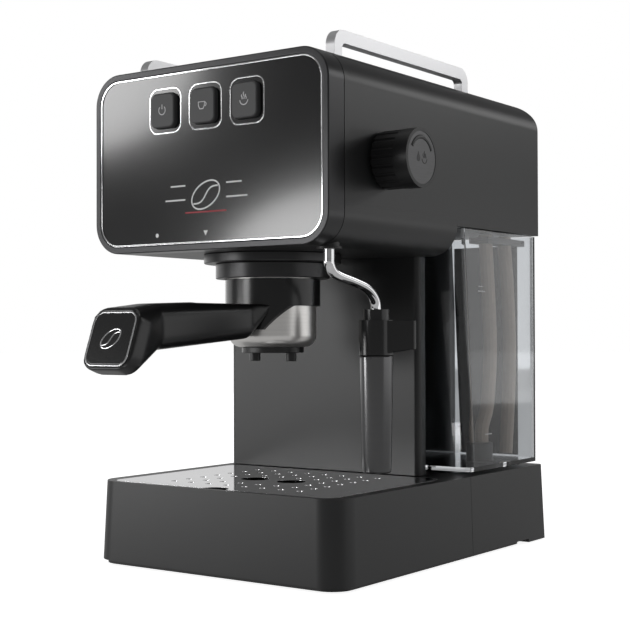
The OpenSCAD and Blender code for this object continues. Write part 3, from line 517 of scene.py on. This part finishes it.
def facing(origin, right, up):
    """Matrix that lays a flat drawing at origin, with its X along right and its Y along up."""
    right, up = Vector(right).normalized(), Vector(up).normalized()
    out = right.cross(up)
    matrix = Matrix((right, up, out)).transposed().to_4x4()
    matrix.translation = Vector(origin)
    return matrix


# ---------------------------------------------------------------- marks

def bean(size, turn):
    """Outline and crease of a coffee bean."""
    ring = oval(0, 0, size, size * 0.62, turn)
    c, s = cos(radians(turn)), sin(radians(turn))
    crease = [(size * 0.92 * (k / 6 - 1), size * 0.16 * sin(pi * (k / 6 - 1))) for k in range(13)]
    return [ring + ring[:1], [(c * x - s * y, s * x + c * y) for x, y in crease]]


def power_sign(r):
    """A power sign: an open ring with a stroke."""
    return [arc(0, 0, r, 130, 410), [(0, 0.25 * r), (0, 1.35 * r)]]


def cup_sign(r):
    """A cup seen from the side, with its handle."""
    bowl = [(-r, 0.7 * r), (-0.95 * r, -0.1 * r), (-0.6 * r, -0.75 * r), (0.3 * r, -0.75 * r),
            (0.65 * r, -0.1 * r), (0.7 * r, 0.7 * r)]
    return [bowl + bowl[:1], arc(0.72 * r, 0.15 * r, 0.4 * r, -80, 80, 8)]


def steam_sign(r):
    """Three wisps over a dish."""
    wisps = [[(x + 0.12 * r * sin(pi * k / 4), 0.1 * r + k * h * r / 8) for k in range(9)]
             for x, h in ((-0.5 * r, 0.9), (0, 1.4), (0.5 * r, 0.9))]
    return wisps + [arc(0, 0, r, 185, 355)]


def drop_shape(r):
    """Outline of a filled drop."""
    return arc(0, -0.3 * r, 0.7 * r, -210, 30) + [(0, 1.3 * r)]


# ---------------------------------------------------------------- piece operators

class SoftenShells(bpy.types.Operator):
    """Rounds the seams and rims of the housing's shells"""
    bl_idname = "espresso.soften_shells"
    bl_label = "Shells"

    def execute(self, context):
        edges = context.scene.espresso_edges
        for node in ("head_upper_shell", "head_lower_shell", "column_shell", "rear_cover"):
            softened(node, edges.seam)
        softened("rear_base", edges.base)
        softened("drip_tray", edges.base, segments=4)
        softened("base_pan", edges.small)
        return {"FINISHED"}


class SoftenFront(bpy.types.Operator):
    """Rounds the bezel, the bright lines and the button caps"""
    bl_idname = "espresso.soften_front"
    bl_label = "Front"

    def execute(self, context):
        edges = context.scene.espresso_edges
        softened("front_bezel", edges.bezel, segments=4)
        softened("chrome_trim", edges.small * 0.6, segments=2)
        softened("button_rings", edges.small * 0.5, segments=2)
        for node in ("power_button", "coffee_button", "steam_button"):
            softened(node, edges.button, segments=4)
        return {"FINISHED"}


class ButtonSigns(bpy.types.Operator):
    """Draws the sign on each button"""
    bl_idname = "espresso.button_signs"
    bl_label = "Button signs"

    def execute(self, context):
        line = context.scene.espresso_edges.print
        signs = {"power_button": power_sign(2.5 * MM), "coffee_button": cup_sign(2.7 * MM),
                 "steam_button": steam_sign(2.8 * MM)}
        for node, lines in signs.items():
            low, high = span(node)
            spot = ((low.x + high.x) / 2, low.y, (low.z + high.z) / 2)
            sign = drawing("sign_" + node, lines, line, facing(spot, (1, 0, 0), (0, 0, 1)))
            dress(sign, SLOT_OF[node], BODY_OF[node], material="print")
        return {"FINISHED"}


class PanelMarks(bpy.types.Operator):
    """Puts the emblem and the locking marks on the panel"""
    bl_idname = "espresso.panel_marks"
    bl_label = "Panel marks"

    def execute(self, context):
        low = span("front_panel")[0]
        face = low.y
        line = context.scene.espresso_edges.print
        centre = facing((0, face, low.z + 26 * MM), (1, 0, 0), (0, 0, 1))
        side = [(15 * MM, 6 * MM), (26 * MM, 6 * MM)]
        under = [(15 * MM, -2 * MM), (30 * MM, -2 * MM)]
        strokes = [[(s * x, y) for x, y in row] for s in (-1, 1) for row in (side, under)]
        emblem = drawing("panel_emblem", bean(11 * MM, 28) + strokes, line * 1.5, centre)
        dress(emblem, "chrome_line", "root", material="print_white")
        red = drawing("panel_red_line", [[(-15 * MM, -9.5 * MM), (15 * MM, -9.5 * MM)]], line * 1.4, centre)
        dress(red, "panel_gloss", "root", material="print_red")
        mark = facing((0, face, low.z + 4.6 * MM), (1, 0, 0), (0, 0, 1))
        arrow = [(-1.6 * MM, 1.4 * MM), (0, -1.6 * MM), (1.6 * MM, 1.4 * MM)]
        dot = oval(-36.5 * MM, 0, 1.2 * MM, 1.2 * MM)
        marks = drawing("locking_marks", (), line, mark, fills=(arrow, dot))
        dress(marks, "panel_gloss", "root", material="print_white")
        return {"FINISHED"}


class SteamKnob(bpy.types.Operator):
    """Rounds the knob and marks its face"""
    bl_idname = "espresso.steam_knob"
    bl_label = "Steam knob"

    def execute(self, context):
        edges = context.scene.espresso_edges
        softened("steam_knob", edges.small, segments=2, angle=25)
        softened("knob_face", edges.small * 0.4, segments=2)
        low, high = span("knob_face")
        radius = (high.z - low.z) / 2
        spot = (high.x, (low.y + high.y) / 2, (low.z + high.z) / 2)
        lay = facing(spot, (0, 1, 0), (0, 0, 1))
        lines = [arc(0, 0, radius * 0.78, 25, 150, 24)]
        drop = [(x - 3.4 * MM, y) for x, y in drop_shape(2.4 * MM)]
        wisps = [[(x + 3 * MM, y - 0.3 * MM) for x, y in row] for row in steam_sign(2.6 * MM)]
        arrow = drawing("knob_arc", lines, edges.print * 3.6, lay)
        dress(arrow, "knob_face", "steam_knob", material="print_black")
        signs = drawing("knob_signs", wisps, edges.print * 1.1, lay, fills=(drop,))
        dress(signs, "knob_face", "steam_knob", material="print_black")
        return {"FINISHED"}


class CupRails(bpy.types.Operator):
    """Rounds the cup rails and the plate between them"""
    bl_idname = "espresso.cup_rails"
    bl_label = "Cup rails"

    def execute(self, context):
        edges = context.scene.espresso_edges
        for node in ("cup_rail_left", "cup_rail_right"):
            softened(node, edges.rail, segments=5)
        softened("cup_plate", edges.small, segments=3)
        return {"FINISHED"}


class BrewGroup(bpy.types.Operator):
    """Rounds the group's rings and the portafilter's turned parts"""
    bl_idname = "espresso.brew_group"
    bl_label = "Brewing group"

    def execute(self, context):
        edges = context.scene.espresso_edges
        for node in ("group_flange", "lock_ring"):
            softened(node, edges.small * 1.6, segments=3)
        for node in ("portafilter_collar", "portafilter_body", "coffee_spout"):
            softened(node, edges.small, segments=3)
        return {"FINISHED"}


class PortafilterHandle(bpy.types.Operator):
    """Blends the handle into one smooth form and marks its square end"""
    bl_idname = "espresso.portafilter_handle"
    bl_label = "Portafilter handle"

    WEB_DROP = 12.2 * MM        # from the handle's highest point down to the arm's top
    CLEAR_OF_RING = 0.05 * MM
    GRAIN_OF_FORM = 0.9 * MM    # size of the cells that the form is rebuilt from
    SMOOTHINGS = 14
    RECESS_BACK = 2.4 * MM
    RECESS_FRONT = 0.6 * MM
    RECESS_GAP = 0.2 * MM       # wider than the end plate by this, in all

    def execute(self, context):
        edges = context.scene.espresso_edges
        self.grip()
        softened("handle_trim", edges.small * 0.5, segments=2)
        softened("handle_cap", edges.small * 1.6, segments=3)
        low, high = span("handle_cap")
        up = Vector((0, sin(HANDLE_TILT), cos(HANDLE_TILT)))
        out = Vector((0, -cos(HANDLE_TILT), sin(HANDLE_TILT)))
        centre = (low + high) / 2 + out * 0.5 * MM
        sign = drawing("handle_emblem", bean(7 * MM, 35), edges.print * 1.3,
                       facing(centre, (1, 0, 0), up))
        dress(sign, "chrome_line", "portafilter")
        return {"FINISHED"}

    def grip(self):
        """The handle less the web above its arm, blended into one form and cut to fit."""
        high = span("portafilter_handle")[1]
        plate_low, plate_high = span("handle_trim")
        ring_low, ring_high = span("portafilter_collar")
        radius = (ring_high.x - ring_low.x) / 2
        axis = (ring_low + ring_high) / 2
        axis.y = ring_high.y - radius
        front = axis.y - radius
        mesh = NODES["portafilter_handle"].data.copy()
        form = bpy.data.objects.new("fine_portafilter_handle", mesh)
        bpy.context.scene.collection.objects.link(form)
        web_low = (-0.03, front - 0.05, high.z - self.WEB_DROP)
        web_high = (0.03, axis.y, high.z + 0.01)
        cut_away(form, block("web", web_low, web_high))
        apply_modifier(form, "REMESH", mode="VOXEL", voxel_size=self.GRAIN_OF_FORM)
        apply_modifier(form, "SMOOTH", factor=0.5, iterations=self.SMOOTHINGS)
        cut_away(form, turned("collar_bore", axis, radius + self.CLEAR_OF_RING, 0.1))
        half = (plate_high.x - plate_low.x + self.RECESS_GAP) / 2
        recess = block("recess", (-half, -self.RECESS_BACK, -half), (half, self.RECESS_FRONT, half))
        only(recess)
        bpy.ops.transform.rotate(value=HANDLE_TILT, orient_axis="X", center_override=(0, 0, 0))
        recess.location = (plate_low + plate_high) / 2
        cut_away(form, recess)
        smooth(form, 50)
        dress(form, SLOT_OF["portafilter_handle"], "portafilter", ("portafilter_handle",))


class SteamWand(bpy.types.Operator):
    """Models the bent steam pipe and rounds the grip and sleeve"""
    bl_idname = "espresso.steam_wand"
    bl_label = "Steam wand"

    def execute(self, context):
        edges = context.scene.espresso_edges
        low, high = span("steam_pipe")
        radius = (high.x - low.x) / 2
        x = (low.x + high.x) / 2
        top = Vector((x, low.y + radius, high.z))
        route = [(0, 0, 0), (0, 0.3, -3), (0, 3, -6.5), (0, 9, -8.8), (0, 25, -12),
                 (0, 35, -14.5), (0, 41.5, -18), (0, 45.5, -22.5), (0, 46.5, -28), (0, 46.5, -33)]
        pipe = tube("bent_steam_pipe", [top + Vector(p) * MM for p in route], radius, sides=28, steps=8)
        dress(pipe, SLOT_OF["steam_pipe"], "steam_wand", ("steam_pipe",))
        softened("wand_grip", edges.base * 0.7, segments=4)
        softened("froth_sleeve", edges.base * 0.8, segments=4)
        return {"FINISHED"}


class WaterTank(bpy.types.Operator):
    """Rounds the tank, its strainer and hose clip, and adds level marks and a dark plate behind it that is
    painted shade seen through the clear tank
    """
    bl_idname = "espresso.water_tank"
    bl_label = "Water tank"

    PLATE_WIDTH = 43 * MM
    PLATE_THICKNESS = 0.6 * MM
    PLATE_MIDDLE = 25 * MM      # from the tank's left wall
    PLATE_STAND_OFF = 0.35 * MM
    PLATE_SHORTER = 10 * MM     # than the tank

    def execute(self, context):
        edges = context.scene.espresso_edges
        softened("water_tank", edges.small * 1.5, segments=3, angle=40)
        for node in ("strainer", "hose_clip"):
            softened(node, edges.small, segments=2)
        low, high = span("water_tank")
        # dark plate behind the tank: painted shade seen through the clear walls
        self.painted_shade_plate(low, high)
        level = facing((high.x, low.y + 22 * MM, high.z - 38 * MM), (0, 1, 0), (0, 0, 1))
        lines = [[(0, 0), (9 * MM, 0)], [(0, 3 * MM), (6 * MM, 3 * MM)]]
        marks = drawing("level_mark_high", lines, edges.print, level)
        dress(marks, "tank_clear", "water_tank", material="print")
        level.translation = Vector((high.x, low.y + 30 * MM, low.z + 24 * MM))
        marks = drawing("level_mark_low", [[(0, 0), (9 * MM, 0)]], edges.print, level)
        dress(marks, "tank_clear", "water_tank", material="print")
        return {"FINISHED"}

    def painted_shade_plate(self, low, high):
        """A thin dark plate on the outside of the tank's rear wall, with a pressed middle: painted shade, a
        dark sheet that darkens what is seen through the clear tank.
        """
        size = Vector((self.PLATE_WIDTH, self.PLATE_THICKNESS, high.z - low.z - self.PLATE_SHORTER))
        middle = Vector((low.x + self.PLATE_MIDDLE, high.y + self.PLATE_STAND_OFF, (low.z + high.z) / 2))
        plate = block("tank_painted_shade_plate", middle - size / 2, middle + size / 2)
        press_in(plate, Vector((0, 1, 0)), 3 * MM, 0.25 * MM)
        apply_modifier(plate, "BEVEL", width=0.2 * MM, segments=2, limit_method="ANGLE")
        smooth(plate)
        # black finish of the plate is painted shade behind the clear tank
        dress(plate, "black_plastic", "water_tank", material="print_black")


class DripGrille(bpy.types.Operator):
    """Rounds the pressed edges of the drip grille"""
    bl_idname = "espresso.drip_grille"
    bl_label = "Drip grille"

    def execute(self, context):
        softened("drip_grille", context.scene.espresso_edges.grille, segments=2)
        return {"FINISHED"}


class PlainNodes(bpy.types.Operator):
    """Gives every CAD part its finish"""
    bl_idname = "espresso.plain_nodes"
    bl_label = "Other parts"

    def execute(self, context):
        for name, node in NODES.items():
            material = MATERIALS[SLOT_OF[name]]
            if not node.material_slots:
                node.data.materials.append(material)
            for slot in node.material_slots:
                slot.material = material
        return {"FINISHED"}


# ---------------------------------------------------------------- stage

MIDDLE = (0, 0, 0.16)           # middle of the machine

# name, place, point it faces, size in metres, share of the key light's power, shape
SOFTBOXES = (
    ("key", (-1.36, -1.27, 0.66), (0, -0.12, 0.24), (0.56, 0.38), 0.9, "ELLIPSE"),
    ("low_glow", (-0.66, -1.27, 0.24), (0, -0.12, 0.22), (0.44, 0.26), 0.55, "ELLIPSE"),
    ("overhead", (0.1, -0.1, 1.5), (0.05, 0, 0.28), (0.9, 1.1), 0.9, "RECTANGLE"),
    ("left_card", (-1.3, -1.27, 0.07), (0, 0, 0.1), (0.5, 0.14), 0.6, "RECTANGLE"),
    ("left_wall", (-1.7, 0.4, 0.35), MIDDLE, (1.8, 0.9), 1.1, "RECTANGLE"),
    ("right_wall", (1.4, 0.75, 0.16), MIDDLE, (2.2, 0.5), 0.7, "RECTANGLE"),
    ("side_glow", (0.95, 1.45, 0.82), (0.085, 0, 0.27), (0.9, 0.4), 0.6, "RECTANGLE"),
    ("back_card", (-1.5, 1.7, 0.35), (0, -0.05, 0.05), (2.2, 0.6), 0.5, "RECTANGLE"),
)


def softbox(name, place, aim, size, power, shape):
    """An area light at a place, turned to face a point."""
    light = bpy.data.lights.new(name, "AREA")
    light.shape = shape
    light.size, light.size_y = size
    light.energy = power
    obj = bpy.data.objects.new(name, light)
    bpy.context.scene.collection.objects.link(obj)
    obj.location = place
    obj.rotation_euler = (Vector(aim) - Vector(place)).to_track_quat("-Z", "Y").to_euler()


def seen_or_not(tree, kind, unseen, seen):
    """A value that is one thing to the camera and another to every other ray."""
    path = tree.nodes.new("ShaderNodeLightPath")
    mix = tree.nodes.new("ShaderNodeMix")
    mix.data_type = kind
    mix.inputs["A"].default_value = unseen
    mix.inputs["B"].default_value = seen
    tree.links.new(path.outputs["Is Camera Ray"], mix.inputs["Factor"])
    return mix.outputs["Result"]


class Stage(bpy.types.Operator):
    """Sets the pale floor, the studio light and the camera"""
    bl_idname = "espresso.stage"
    bl_label = "Stage"

    def execute(self, context):
        settings = context.scene.espresso_stage
        self.camera(context.scene, settings)
        self.floor()
        self.world(context.scene, settings.ambient)
        for name, place, aim, size, share, shape in SOFTBOXES:
            softbox(name, place, aim, size, settings.key * share, shape)
        context.scene.view_settings.view_transform = "Standard"
        return {"FINISHED"}

    def camera(self, scene, settings):
        """The camera, from its place and its heading, rise and roll."""
        yaw, rise, roll = settings.aim
        right = Vector((cos(yaw), sin(yaw), 0))
        ahead = Vector((-sin(yaw) * cos(rise), cos(yaw) * cos(rise), sin(rise)))
        up = right.cross(ahead)
        side = cos(roll) * right + sin(roll) * up
        top = cos(roll) * up - sin(roll) * right
        data = bpy.data.cameras.new("camera")
        data.lens = settings.lens
        data.sensor_width = 36
        data.clip_start = 0.01
        camera = bpy.data.objects.new("camera", data)
        scene.collection.objects.link(camera)
        matrix = Matrix((side, top, -ahead)).transposed().to_4x4()
        matrix.translation = Vector(settings.eye)
        camera.matrix_world = matrix
        scene.camera = camera

    def floor(self):
        """A pale floor that lights the machine less than the camera's view of it suggests."""
        bpy.ops.object.select_all(action="DESELECT")
        bpy.ops.mesh.primitive_circle_add(vertices=96, radius=9, fill_type="NGON")
        floor = named("floor")
        material = bpy.data.materials.new("pale floor")
        material.use_nodes = True
        tree = material.node_tree
        shader = tree.nodes["Principled BSDF"]
        shader.inputs["Roughness"].default_value = 0.7
        shader.inputs["Specular IOR Level"].default_value = 0.0
        shader.inputs["Emission Color"].default_value = WHITE
        tone = seen_or_not(tree, "RGBA", (0.3, 0.3, 0.3, 1), (0.82, 0.82, 0.82, 1))
        glow = seen_or_not(tree, "FLOAT", 0.32, 0.9)
        tree.links.new(tone, shader.inputs["Base Color"])
        tree.links.new(glow, shader.inputs["Emission Strength"])
        floor.data.materials.append(material)

    def world(self, scene, ambient):
        """White to the camera, and a dim even light to everything else."""
        world = bpy.data.worlds.new("studio")
        scene.world = world
        world.use_nodes = True
        tree = world.node_tree
        sky = tree.nodes["Background"]
        sky.inputs["Color"].default_value = WHITE
        tree.links.new(seen_or_not(tree, "FLOAT", ambient, 1.0), sky.inputs["Strength"])


class EspressoPanel(bpy.types.Panel):
    """Lists the machine's settings and the operators that make its pieces"""
    bl_idname = "VIEW3D_PT_espresso"
    bl_label = "Espresso machine"
    bl_space_type = "VIEW_3D"
    bl_region_type = "UI"
    bl_category = "Espresso"

    def draw(self, context):
        layout = self.layout
        for settings in (context.scene.espresso_colours, context.scene.espresso_edges,
                         context.scene.espresso_stage):
            box = layout.box()
            for key in settings.__annotations__:
                box.prop(settings, key)
        for operator in OPERATORS:
            layout.operator(operator.bl_idname)


SETTINGS = {"espresso_colours": FinishColours, "espresso_edges": EdgeSizes, "espresso_stage": StageSettings}
OPERATORS = (SoftenShells, SoftenFront, ButtonSigns, PanelMarks, SteamKnob, CupRails, BrewGroup,
             PortafilterHandle, SteamWand, WaterTank, DripGrille, PlainNodes, Stage)


def register():
    for cls in (*SETTINGS.values(), *OPERATORS, EspressoPanel):
        bpy.utils.register_class(cls)
    for name, cls in SETTINGS.items():
        setattr(bpy.types.Scene, name, bpy.props.PointerProperty(type=cls))


def unregister():
    for name in SETTINGS:
        delattr(bpy.types.Scene, name)
    for cls in reversed((*SETTINGS.values(), *OPERATORS, EspressoPanel)):
        bpy.utils.unregister_class(cls)


def main():
    """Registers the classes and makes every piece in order."""
    register()
    MATERIALS.update(make_finishes(bpy.context.scene.espresso_colours))
    for operator in OPERATORS:
        group, name = operator.bl_idname.split(".")
        getattr(getattr(bpy.ops, group), name)()


if __name__ == "__main__":
    main()
